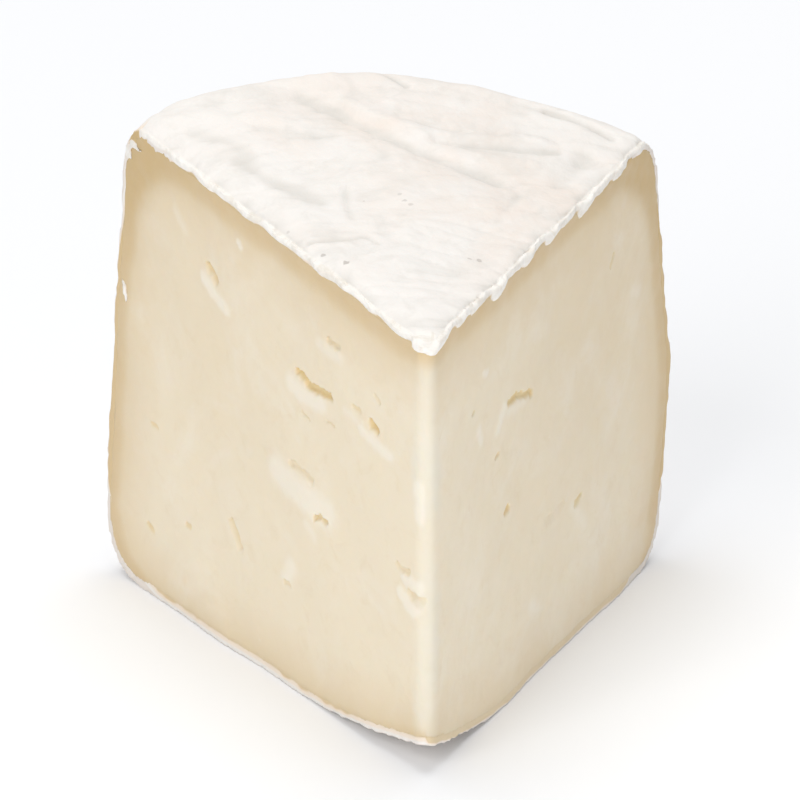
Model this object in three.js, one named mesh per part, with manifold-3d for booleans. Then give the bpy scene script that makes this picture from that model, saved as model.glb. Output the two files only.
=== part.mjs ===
// A wedge of soft sheep's-milk cheese, cut from a small round cheese with a white bloomy rind.
// Millimetres, +Z up. The point of the wedge faces -Y and the rind side faces +Y. Shapes are worked
// out with the point on the Z axis, and the finished wedge is then moved so that the origin lies
// under the middle of its box, on the surface that it rests on.

import * as THREE from 'three';
import { mergeVertices } from 'three/addons/utils/BufferGeometryUtils.js';
import Module from 'manifold-3d';

const wasm = await Module();
wasm.setup();

// The round cheese, before its unevenness.
const WHEEL_RADIUS = 75;
const PROFILE_HEIGHT = 64;
const SHOULDER_RADIUS = 6.5;
const FOOT_RADIUS = 7;
const WHEEL_COLUMNS = 135;

// The wedge: two upright cuts that meet in a blunt front edge.
const CUT_HALF_ANGLE = THREE.MathUtils.degToRad(29.2);
const FRONT_EDGE_RADIUS = 1.5;
const CUT_REACH = 95;
const CUT_LOW = -6;
const CUT_HIGH = 74;
const CUT_GRID = 3.8;

// Heights of the top rind, which sags to one side and sinks towards the point.
const POINT_HEIGHT = 58.6;
const RIM_HEIGHT = 68.1;
const RIM_FALL_TO_RIGHT = 7.1;
const LEFT_CORNER_DROOP = 3.1;
const LEFT_CORNER_START = 0.6;
const CROWN_RISE = 1;
const CROWN_RADIUS = 67.5;
const CROWN_FADE = 4;

// The underside lies flat, apart from the stretch that lifts towards the point.
const POINT_LIFT = 4.2;
const LIFT_REACH = { left: 28, middle: 26, right: 21 };

// The rind side: where its belly is, and how far it draws in above and below.
const BELLY_HEIGHT = { left: 11, middle: 18, right: 27 };
const BELLY_RADIUS = { left: 75.2, middle: 75.4, right: 75 };
const TOP_DRAW_IN = { left: 5.4, middle: 5, right: 5 };
const FOOT_DRAW_IN = { left: 0.2, middle: 1.4, right: 2.8 };

// Soft relief of the top rind: one long crease, and a low swell all over.
const CREASE_ROUTE = [[-12, 61], [-7.5, 58], [-4, 54.5], [0, 50.3], [7.5, 45.3], [12.5, 43]];
const CREASE_DEPTH = 0.8;
const CREASE_WIDTH = 2.6;
const SWELL_HEIGHT = 0.35;
const CUT_SWELL_HEIGHT = 0.22;

// Flaps of rind that the knife dragged over the two upper cut edges, one row for each cut.
const FLAP_ROWS = [
  { cut: 'left', first: 5, last: 62, pitch: 6.6, drop: 1.2, stand: 0.6 },
  { cut: 'right', first: 4, last: 62, pitch: 5.4, drop: 1.5, stand: 0.7 },
];
const FLAP_HALF_LENGTH = 0.56;

// Eyes and torn pits that show on the cuts: distance from the point, height, and their own sizes.
const EYES = [
  { cut: 'left', along: 25.8, up: 44.4, length: 8.8, width: 1.8, depth: 1.5, turn: 3 },
  { cut: 'left', along: 12.4, up: 44, length: 3.6, width: 1.6, depth: 1.4, turn: 29 },
  { cut: 'left', along: 49.2, up: 51.2, length: 3.6, width: 1.8, depth: 1.1, turn: 40 },
  { cut: 'left', along: 28.5, up: 31.5, length: 6, width: 1.7, depth: 0.9, turn: 9 },
  { cut: 'left', along: 24.3, up: 26.6, length: 3.4, width: 1.4, depth: 1.1, turn: -8 },
  { cut: 'left', along: 21.1, up: 52, length: 3.6, width: 1.3, depth: 0.8, turn: 4 },
  { cut: 'left', along: 6.5, up: 27.1, length: 3.4, width: 1.6, depth: 1.1, turn: -6 },
  { cut: 'left', along: 4.4, up: 22.4, length: 3, width: 1.6, depth: 1.1, turn: -31 },
  { cut: 'left', along: 32, up: 14.6, length: 2.2, width: 1.4, depth: 0.7, turn: 0 },
  { cut: 'right', along: 27.8, up: 41.4, length: 7.4, width: 1.7, depth: 1.2, turn: -12 },
  { cut: 'right', along: 24.2, up: 27.1, length: 2.2, width: 1.6, depth: 0.9, turn: 10 },
  { cut: 'right', along: 46, up: 19.2, length: 2.6, width: 1.5, depth: 0.8, turn: 15 },
];

// The origin, measured from the point of the wedge along its middle line.
const ORIGIN_FROM_POINT = 38;

const CUT_SIGN = { left: -1, right: 1 };

// A solid from a closed three.js geometry, with shared vertices merged and empty faces dropped.
function toSolid(geometry) {
  geometry.deleteAttribute('normal');
  geometry.deleteAttribute('uv');
  const merged = mergeVertices(geometry, 1e-4);
  const corners = merged.index.array;
  const kept = [];
  for (let i = 0; i < corners.length; i += 3) {
    const [a, b, c] = [corners[i], corners[i + 1], corners[i + 2]];
    if (a !== b && b !== c && c !== a) {
      kept.push(a, b, c);
    }
  }
  return new wasm.Manifold(new wasm.Mesh({
    numProp: 3,
    vertProperties: Float32Array.from(merged.attributes.position.array),
    triVerts: Uint32Array.from(kept),
  }));
}

// A three.js geometry from a finished solid.
function toGeometry(solid) {
  const mesh = solid.getMesh();
  const geometry = new THREE.BufferGeometry();
  geometry.setAttribute('position', new THREE.BufferAttribute(mesh.vertProperties, 3));
  geometry.setIndex(new THREE.BufferAttribute(mesh.triVerts, 1));
  geometry.computeVertexNormals();
  return geometry;
}

// How far a direction leans from the left cut (-1) over the middle (0) to the right cut (1).
function leanAt(x, y) {
  const sine = x / Math.max(Math.hypot(x, y), 1e-6);
  return THREE.MathUtils.clamp(sine / Math.sin(CUT_HALF_ANGLE), -1.15, 1.15);
}

// A smooth value between the ones named for the left cut, the middle and the right cut.
function blend({ left, middle, right }, lean) {
  return middle + (right - left) / 2 * lean + ((left + right) / 2 - middle) * lean * lean;
}

// Low uneven waves over the plane, between about -1 and 1.
function swell(x, y) {
  const broad = Math.sin(x / 5.1 + 0.7) * Math.cos(y / 6.3 - 0.4);
  const fine = Math.sin(x / 2.9 - y / 4.1 + 1.9);
  return 0.65 * broad + 0.35 * fine;
}

// Distance from a place on the top to the line of the crease.
function distanceToCrease(x, y) {
  const place = new THREE.Vector3(x, y, 0);
  const nearest = new THREE.Vector3();
  let best = Infinity;
  for (let i = 1; i < CREASE_ROUTE.length; i += 1) {
    const from = new THREE.Vector3(...CREASE_ROUTE[i - 1], 0);
    const to = new THREE.Vector3(...CREASE_ROUTE[i], 0);
    new THREE.Line3(from, to).closestPointToPoint(place, true, nearest);
    best = Math.min(best, nearest.distanceTo(place));
  }
  return best;
}

function topHeight(x, y) {
  const radius = Math.hypot(x, y);
  const lean = leanAt(x, y);
  const fall = RIM_FALL_TO_RIGHT * Math.max(0, lean) ** 1.1;
  const droop = LEFT_CORNER_DROOP * (Math.max(0, -lean - LEFT_CORNER_START) / (1 - LEFT_CORNER_START)) ** 3;
  const rise = RIM_HEIGHT - fall - droop - POINT_HEIGHT;
  const past = Math.max(0, radius - CROWN_RADIUS);
  const crown = CROWN_RISE * Math.exp(-((past / CROWN_FADE) ** 2));
  const crease = CREASE_DEPTH * Math.exp(-((distanceToCrease(x, y) / CREASE_WIDTH) ** 2));
  return POINT_HEIGHT + rise * radius / WHEEL_RADIUS + crown - crease + SWELL_HEIGHT * swell(x, y);
}

function undersideHeight(x, y) {
  const reach = blend(LIFT_REACH, leanAt(x, y));
  return POINT_LIFT * Math.max(0, 1 - Math.hypot(x, y) / reach) ** 1.5;
}

// How far the rind side stands from the plain wheel's radius at a height.
function sideOffset(z, top, lean) {
  const belly = blend(BELLY_HEIGHT, lean);
  const above = Math.max(0, (z - belly) / (top - belly));
  const below = Math.max(0, (belly - z) / belly);
  const drawIn = blend(TOP_DRAW_IN, lean) * above ** 1.1 + blend(FOOT_DRAW_IN, lean) * below ** 1.5;
  return blend(BELLY_RADIUS, lean) - WHEEL_RADIUS - drawIn;
}

// The outline of half the round cheese, from the middle of its underside to the middle of its top.
function wheelProfile() {
  const sideX = WHEEL_RADIUS;
  const footX = sideX - FOOT_RADIUS;
  const shoulderX = sideX - SHOULDER_RADIUS;
  const shoulderY = PROFILE_HEIGHT - SHOULDER_RADIUS;
  const stretches = [
    [new THREE.LineCurve(new THREE.Vector2(0, 0), new THREE.Vector2(footX, 0)), 10],
    [new THREE.EllipseCurve(footX, FOOT_RADIUS, FOOT_RADIUS, FOOT_RADIUS, -Math.PI / 2, 0), 5],
    [new THREE.LineCurve(new THREE.Vector2(sideX, FOOT_RADIUS), new THREE.Vector2(sideX, shoulderY)), 14],
    [new THREE.EllipseCurve(shoulderX, shoulderY, SHOULDER_RADIUS, SHOULDER_RADIUS, 0, Math.PI / 2), 4],
    [new THREE.LineCurve(
      new THREE.Vector2(shoulderX, PROFILE_HEIGHT), new THREE.Vector2(0, PROFILE_HEIGHT)), 20],
  ];
  const points = [new THREE.Vector2(0, 0)];
  for (const [curve, pieces] of stretches) {
    points.push(...curve.getPoints(pieces).slice(1));
  }
  return points;
}

// The whole round cheese, pushed from a plain turned shape into its sagged and uneven one.
function wheelSolid() {
  const geometry = new THREE.LatheGeometry(wheelProfile(), WHEEL_COLUMNS);
  geometry.rotateX(Math.PI / 2);
  const places = geometry.attributes.position;
  const place = new THREE.Vector3();
  for (let i = 0; i < places.count; i += 1) {
    place.fromBufferAttribute(places, i);
    const radius = Math.hypot(place.x, place.y);
    const top = topHeight(place.x, place.y);
    const low = undersideHeight(place.x, place.y);
    const z = low + place.z / PROFILE_HEIGHT * (top - low);
    const offset = sideOffset(z, top, leanAt(place.x, place.y)) * (radius / WHEEL_RADIUS) ** 6;
    const stretch = 1 + offset / WHEEL_RADIUS;
    places.setXYZ(i, place.x * stretch, place.y * stretch, z);
  }
  return toSolid(geometry);
}

// The place on a cut that lies a distance from the point and a height above the ground.
function onCut(cut, along, up) {
  const angle = CUT_SIGN[cut] * CUT_HALF_ANGLE;
  return new THREE.Vector3(Math.sin(angle) * along, Math.cos(angle) * along, up);
}

// The level outline of the space between the two cuts, with its blunt front edge.
function cutOutline() {
  const blunt = FRONT_EDGE_RADIUS / Math.sin(CUT_HALF_ANGLE);
  const meets = FRONT_EDGE_RADIUS / Math.tan(CUT_HALF_ANGLE);
  const pieces = Math.round((CUT_REACH - meets) / CUT_GRID);
  const right = onCut('right', CUT_REACH, 0);
  const left = onCut('left', CUT_REACH, 0);
  const rightMeets = onCut('right', meets, 0);
  const leftMeets = onCut('left', meets, 0);
  const stretches = [
    [new THREE.LineCurve3(left, leftMeets), pieces],
    [new THREE.EllipseCurve(0, blunt, FRONT_EDGE_RADIUS, FRONT_EDGE_RADIUS,
      Math.PI + CUT_HALF_ANGLE, 2 * Math.PI - CUT_HALF_ANGLE), 5],
    [new THREE.LineCurve3(rightMeets, right), pieces],
  ];
  const points = [new THREE.Vector2(left.x, left.y)];
  for (const [curve, count] of stretches) {
    points.push(...curve.getPoints(count).slice(1).map(({ x, y }) => new THREE.Vector2(x, y)));
  }
  return new THREE.Shape(points);
}

// The upright space between the two cuts, whose faces have the low waves that the knife left.
function cutSolid() {
  const geometry = new THREE.ExtrudeGeometry(cutOutline(), {
    depth: CUT_HIGH - CUT_LOW,
    steps: Math.round((CUT_HIGH - CUT_LOW) / CUT_GRID),
    bevelEnabled: false,
  });
  geometry.translate(0, 0, CUT_LOW);
  const places = geometry.attributes.position;
  for (let i = 0; i < places.count; i += 1) {
    const [x, y, z] = [places.getX(i), places.getY(i), places.getZ(i)];
    const along = Math.hypot(x, y);
    const wave = CUT_SWELL_HEIGHT * swell(along + 13 * Math.sign(x), 0.8 * z);
    const fade = Math.min(1, along / 12);
    places.setX(i, x + Math.sign(x) * wave * fade);
  }
  return toSolid(geometry);
}

// A rounded lump or hollow on a cut, long along its own turned axis.
function lumpSolid(cut, along, up, { length, width, depth, turn }, sides, rings) {
  const geometry = new THREE.SphereGeometry(1, sides, rings);
  const outDirection = onCut(cut, 1, 0);
  const upDirection = new THREE.Vector3(0, 0, 1);
  const normal = new THREE.Vector3().crossVectors(outDirection, upDirection);
  geometry.scale(length / 2, width / 2, depth);
  geometry.rotateZ(THREE.MathUtils.degToRad(turn));
  geometry.applyMatrix4(new THREE.Matrix4().makeBasis(outDirection, upDirection, normal));
  const centre = onCut(cut, along, up);
  geometry.translate(centre.x, centre.y, centre.z);
  return toSolid(geometry);
}

// The flaps of one row, each a little longer or shorter than the next.
function flapSolids({ cut, first, last, pitch, drop, stand }) {
  const flaps = [];
  const count = Math.round((last - first) / pitch);
  for (let i = 0; i <= count; i += 1) {
    const uneven = Math.sin(i * 2.4 + CUT_SIGN[cut]);
    const along = first + pitch * (i + 0.18 * uneven);
    const place = onCut(cut, along, 0);
    const up = topHeight(place.x, place.y) - drop * 0.5;
    const size = {
      length: pitch * 2 * FLAP_HALF_LENGTH * (1 + 0.12 * uneven),
      width: drop * (1.3 + 0.2 * uneven),
      depth: stand * (1 + 0.25 * uneven),
      turn: -8 * CUT_SIGN[cut],
    };
    flaps.push(lumpSolid(cut, along, up, size, 8, 6));
  }
  return flaps;
}

function wedgeSolid() {
  let wedge = wheelSolid().intersect(cutSolid());
  for (const row of FLAP_ROWS) {
    for (const flap of flapSolids(row)) {
      wedge = wedge.add(flap);
    }
  }
  for (const eye of EYES) {
    wedge = wedge.subtract(lumpSolid(eye.cut, eye.along, eye.up, eye, 12, 8));
  }
  return wedge;
}

const cheeseMaterial = new THREE.MeshStandardMaterial({ color: 0xe6d9b8, roughness: 0.6, metalness: 0 });
const cheese = new THREE.Mesh(toGeometry(wedgeSolid()), cheeseMaterial);
cheese.name = 'cheese_wedge';
cheese.position.set(0, -ORIGIN_FROM_POINT, 0);

const part = new THREE.Group();
part.add(cheese);

export default part;
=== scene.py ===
"""A wedge of soft sheep's-milk cheese with a white bloomy rind, in a plain pale studio.

The rind and the paste are modelled from the same named sizes as the solid wedge. All modelling is
in millimetres with the point of the wedge on the Z axis. A finished mesh is then moved into the
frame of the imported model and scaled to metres.
"""

import logging
import math
from collections.abc import Iterator
from contextlib import contextmanager
from dataclasses import dataclass
from enum import Enum
from functools import cache

import bmesh
import bpy
import numpy as np
from mathutils import Matrix, Vector, noise

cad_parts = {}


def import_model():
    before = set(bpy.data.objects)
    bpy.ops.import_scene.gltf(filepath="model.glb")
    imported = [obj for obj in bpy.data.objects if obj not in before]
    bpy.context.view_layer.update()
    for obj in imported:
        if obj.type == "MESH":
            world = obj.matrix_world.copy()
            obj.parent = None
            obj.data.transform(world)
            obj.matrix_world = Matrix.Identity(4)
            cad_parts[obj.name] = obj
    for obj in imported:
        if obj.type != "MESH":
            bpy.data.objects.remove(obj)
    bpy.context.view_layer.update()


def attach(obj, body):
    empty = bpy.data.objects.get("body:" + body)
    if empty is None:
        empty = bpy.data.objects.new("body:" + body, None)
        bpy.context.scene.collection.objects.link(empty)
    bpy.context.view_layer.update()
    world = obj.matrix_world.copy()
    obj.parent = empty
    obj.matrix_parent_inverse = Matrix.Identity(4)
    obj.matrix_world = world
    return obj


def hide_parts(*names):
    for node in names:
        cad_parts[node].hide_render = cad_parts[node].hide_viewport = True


log = logging.getLogger("cheese")

MM = 0.001
NODE = "cheese_wedge"
BODY = "root"

Array = np.ndarray
Colour = tuple[float, float, float, float]
Route = tuple[tuple[float, float], ...]


def paint(red: int, green: int, blue: int) -> Colour:
    """A colour as the shader wants it, from the 0 to 255 numbers that a screen shows.

    Args:
        red: Red, from 0 to 255.
        green: Green, from 0 to 255.
        blue: Blue, from 0 to 255.

    Returns:
        The linear colour with full alpha.
    """
    shares = (channel / 255 for channel in (red, green, blue))
    linear = (s / 12.92 if s <= 0.04045 else ((s + 0.055) / 1.055) ** 2.4 for s in shares)
    return (*linear, 1.0)


def smooth_step(low: float, high: float, value: Array) -> Array:
    """A smooth rise from 0 at ``low`` to 1 at ``high``."""
    share = np.clip((value - low) / (high - low), 0.0, 1.0)
    return share * share * (3 - 2 * share)


def bell(distance: Array, width: float) -> Array:
    """A soft bump of height 1 that fades over ``width``."""
    return np.exp(-((distance / width) ** 2))


@dataclass(frozen=True)
class Ripple:
    """Smooth uneven relief.

    Attributes:
        height: Its greatest height, up or down.
        size: Width of its lumps.
        seed: Shift that gives it its own pattern.
    """

    height: float
    size: float
    seed: float

    def at(self, places: Array) -> Array:
        """Its heights at places that stand one to a row.

        Args:
            places: The places, one row each.

        Returns:
            The heights.
        """
        shift = Vector((self.seed * 17.3, self.seed * 5.7, self.seed * 11.9))
        values = [noise.noise(Vector(row) / self.size + shift) for row in places]
        return self.height * np.array(values)

    def over(self, first: Array, second: Array, third: float = 0.0) -> Array:
        """Its heights at places whose coordinates are given one by one."""
        return self.at(np.column_stack((first, second, third + 0 * second)))


def distance_to_route(x: Array, y: Array, route: Route) -> Array:
    """Distance from places on the plane to a bent line.

    Args:
        x: First coordinates of the places.
        y: Second coordinates of the places.
        route: The corners of the line.

    Returns:
        The shortest distances.
    """
    nearest = np.full(np.shape(x), np.inf)
    for (ax, ay), (bx, by) in zip(route, route[1:]):
        run_x, run_y = bx - ax, by - ay
        share = ((x - ax) * run_x + (y - ay) * run_y) / (run_x**2 + run_y**2)
        share = np.clip(share, 0.0, 1.0)
        nearest = np.minimum(nearest, np.hypot(x - ax - share * run_x, y - ay - share * run_y))
    return nearest


class Cut(Enum):
    """The two upright cut faces, by the side of the point that they lie on."""

    LEFT = -1
    RIGHT = 1


@dataclass(frozen=True)
class AcrossRim:
    """A size that changes smoothly from the left cut over the middle to the right cut."""

    left: float
    middle: float
    right: float

    def at(self, lean: Array) -> Array:
        """The size where the rim leans ``lean``, from -1 at the left cut to 1 at the right."""
        bend = (self.left + self.right) / 2 - self.middle
        return self.middle + (self.right - self.left) / 2 * lean + bend * lean * lean


@dataclass(frozen=True)
class WedgeForm:
    """The sizes and surfaces of the wedge."""

    wheel_radius: float = 75.0
    profile_height: float = 64.0
    shoulder_radius: float = 6.5
    foot_radius: float = 7.0
    columns: int = 120
    cut_half_angle: float = math.radians(29.2)
    front_edge_radius: float = 1.5
    point_height: float = 58.6
    rim_height: float = 68.1
    rim_fall_to_right: float = 7.1
    left_corner_droop: float = 3.1
    left_corner_start: float = 0.6
    crown_rise: float = 1.0
    crown_radius: float = 67.5
    crown_fade: float = 4.0
    point_lift: float = 4.2
    lift_reach: AcrossRim = AcrossRim(28, 26, 21)
    belly_height: AcrossRim = AcrossRim(11, 18, 27)
    belly_radius: AcrossRim = AcrossRim(75.2, 75.4, 75)
    top_draw_in: AcrossRim = AcrossRim(5.4, 5, 5)
    foot_draw_in: AcrossRim = AcrossRim(0.2, 1.4, 2.8)
    crease_route: Route = ((-12, 61), (-7.5, 58), (-4, 54.5), (0, 50.3), (7.5, 45.3), (12.5, 43))
    crease_depth: float = 0.8
    crease_width: float = 2.6
    swell_height: float = 0.35
    cut_swell_height: float = 0.22
    cut_ripple: Ripple = Ripple(0.1, 6.0, 3)
    cut_shift: float = 31.0
    depth_reach: float = 14.0
    origin_from_point: float = 38.0

    def lean(self, x: Array, y: Array) -> Array:
        """How far a direction leans from the left cut (-1) to the right cut (1)."""
        sine = x / np.maximum(np.hypot(x, y), 1e-6)
        return np.clip(sine / math.sin(self.cut_half_angle), -1.15, 1.15)

    def swell(self, x: Array, y: Array) -> Array:
        """Low uneven waves over the plane, between about -1 and 1.

        Args:
            x: First coordinates of the places.
            y: Second coordinates of the places.

        Returns:
            The heights of the waves.
        """
        broad = np.sin(x / 5.1 + 0.7) * np.cos(y / 6.3 - 0.4)
        fine = np.sin(x / 2.9 - y / 4.1 + 1.9)
        return 0.65 * broad + 0.35 * fine

    def top(self, x: Array, y: Array) -> Array:
        """Height of the top rind, which sags to the right and sinks towards the point.

        Args:
            x: First coordinates of the places.
            y: Second coordinates of the places.

        Returns:
            The heights.
        """
        radius = np.hypot(x, y)
        lean = self.lean(x, y)
        fall = self.rim_fall_to_right * np.maximum(0, lean) ** 1.1
        corner = np.maximum(0, -lean - self.left_corner_start) / (1 - self.left_corner_start)
        rise = self.rim_height - fall - self.left_corner_droop * corner**3 - self.point_height
        past = np.maximum(0, radius - self.crown_radius)
        crown = self.crown_rise * bell(past, self.crown_fade)
        crease = self.crease_depth * bell(
            distance_to_route(x, y, self.crease_route), self.crease_width
        )
        slope = self.point_height + rise * radius / self.wheel_radius
        return slope + crown - crease + self.swell_height * self.swell(x, y)

    def underside(self, x: Array, y: Array) -> Array:
        """Height of the underside, which lies flat and lifts towards the point."""
        reach = self.lift_reach.at(self.lean(x, y))
        return self.point_lift * np.maximum(0, 1 - np.hypot(x, y) / reach) ** 1.5

    def side_offset(self, z: Array, top: Array, lean: Array) -> Array:
        """How far the rind side stands from the plain wheel's radius.

        Args:
            z: Heights on the side.
            top: Heights of the top rind above those places.
            lean: Where they lie between the cuts.

        Returns:
            The offsets, outwards.
        """
        belly = self.belly_height.at(lean)
        above = np.maximum(0, (z - belly) / (top - belly))
        below = np.maximum(0, (belly - z) / belly)
        draw_in = self.top_draw_in.at(lean) * above**1.1
        draw_in = draw_in + self.foot_draw_in.at(lean) * below**1.5
        return self.belly_radius.at(lean) - self.wheel_radius - draw_in

    def settled(self, places: Array) -> Array:
        """Moves places of the plain turned wheel to where the sagged cheese has them.

        Args:
            places: Places on the plain wheel, one row each.

        Returns:
            The moved places.
        """
        x, y, z = places.T
        radius = np.hypot(x, y)
        top = self.top(x, y)
        low = self.underside(x, y)
        height = low + z / self.profile_height * (top - low)
        offset = self.side_offset(height, top, self.lean(x, y)) * (radius / self.wheel_radius) ** 6
        stretch = 1 + offset / self.wheel_radius
        return np.column_stack((x * stretch, y * stretch, height))

    def cut_wave(self, along: Array, up: Array, cut: Cut) -> Array:
        """Height of the low waves that the knife left on a cut, outwards.

        Args:
            along: Distances from the point.
            up: Heights above the ground.
            cut: The cut.

        Returns:
            The heights.
        """
        fade = np.minimum(1, np.maximum(0, along) / 12)
        low = self.cut_swell_height * self.swell(along + 13 * cut.value, 0.8 * up) * fade
        return low + self.cut_ripple.over(along, up, self.cut_shift * cut.value)

    def along(self, cut: Cut) -> Vector:
        """The level direction along a cut, away from the point."""
        angle = cut.value * self.cut_half_angle
        return Vector((math.sin(angle), math.cos(angle), 0.0))

    def outward(self, cut: Cut) -> Vector:
        """The direction that a cut faces."""
        return cut.value * self.along(cut).cross(Vector((0, 0, 1)))

    def on_cut(self, cut: Cut, along: float, up: float) -> Vector:
        """The place on a cut at a distance from the point and a height."""
        return self.along(cut) * along + Vector((0, 0, up))

    @staticmethod
    def radius(places: Array) -> Array:
        """How far places lie from the upright line through the point."""
        return np.hypot(places[:, 0], places[:, 1])

    def run(self, places: Array, cut: Cut) -> Array:
        """How far places lie from the point, along a cut."""
        return places @ np.array(self.along(cut))

    def facing(self, places: Array, cut: Cut) -> Array:
        """How far places stand out from a cut's plane."""
        return places @ np.array(self.outward(cut))

    def inward(self, places: Array) -> Array:
        """How far places lie inside the plane of the nearer cut."""
        return -np.maximum(self.facing(places, Cut.LEFT), self.facing(places, Cut.RIGHT))

    def below_top(self, places: Array) -> Array:
        """How far places lie below the top rind."""
        return self.top(places[:, 0], places[:, 1]) - places[:, 2]

    def outline(self, inset: float) -> list[Vector]:
        """Half the wheel's outline, from the middle of its underside to the middle of its top.

        Args:
            inset: How far inside the rind's surface the outline runs.

        Returns:
            The outline's places on the XZ plane.
        """
        side = self.wheel_radius - inset
        foot = self.foot_radius - inset
        shoulder = self.shoulder_radius - inset
        floor = inset
        ceiling = self.profile_height - inset
        points = [Vector((x, 0, floor)) for x in np.linspace(0, side - foot, 24, endpoint=False)]
        for angle in np.linspace(-math.pi / 2, 0, 7):
            points.append(
                Vector((side - foot + foot * math.cos(angle), 0, floor + foot + foot * math.sin(angle)))
            )
        for z in np.linspace(floor + foot, ceiling - shoulder, 20)[1:-1]:
            points.append(Vector((side, 0, z)))
        for angle in np.linspace(0, math.pi / 2, 7):
            x = side - shoulder + shoulder * math.cos(angle)
            points.append(Vector((x, 0, ceiling - shoulder + shoulder * math.sin(angle))))
        points += [Vector((x, 0, ceiling)) for x in np.linspace(side - shoulder, 0, 30)[1:]]
        return points

    def cut_planes(self) -> list[tuple[Vector, Vector]]:
        """The planes that shape the wedge: both cuts and three between them for the blunt edge.

        Returns:
            A place and an outward normal for each plane.
        """
        centre = Vector((0, self.front_edge_radius / math.sin(self.cut_half_angle), 0))
        turn = math.pi - 2 * self.cut_half_angle
        planes = []
        for step in (0, 4, 1, 2, 3):
            angle = math.pi + self.cut_half_angle + turn * step / 4
            normal = Vector((math.cos(angle), math.sin(angle), 0))
            planes.append((centre + self.front_edge_radius * normal, normal))
        return planes

    def depth(self, places: Array, from_floor: float = 1.0) -> Array:
        """How deep places lie under the surface of the rind, up to ``depth_reach``.

        Args:
            places: Places inside the wedge, one row each.
            from_floor: What a millimetre above the underside counts for.

        Returns:
            The depths, with rounded corners where the top meets the side.
        """
        reach = self.depth_reach
        x, y, z = places.T
        top = self.top(x, y)
        lean = self.lean(x, y)
        side = self.wheel_radius + self.side_offset(z, top, lean) - np.hypot(x, y)
        level = np.minimum(top - z, (z - self.underside(x, y)) * from_floor)
        return reach - np.hypot(np.maximum(0, reach - side), np.maximum(0, reach - level))


FORM = WedgeForm()


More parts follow.
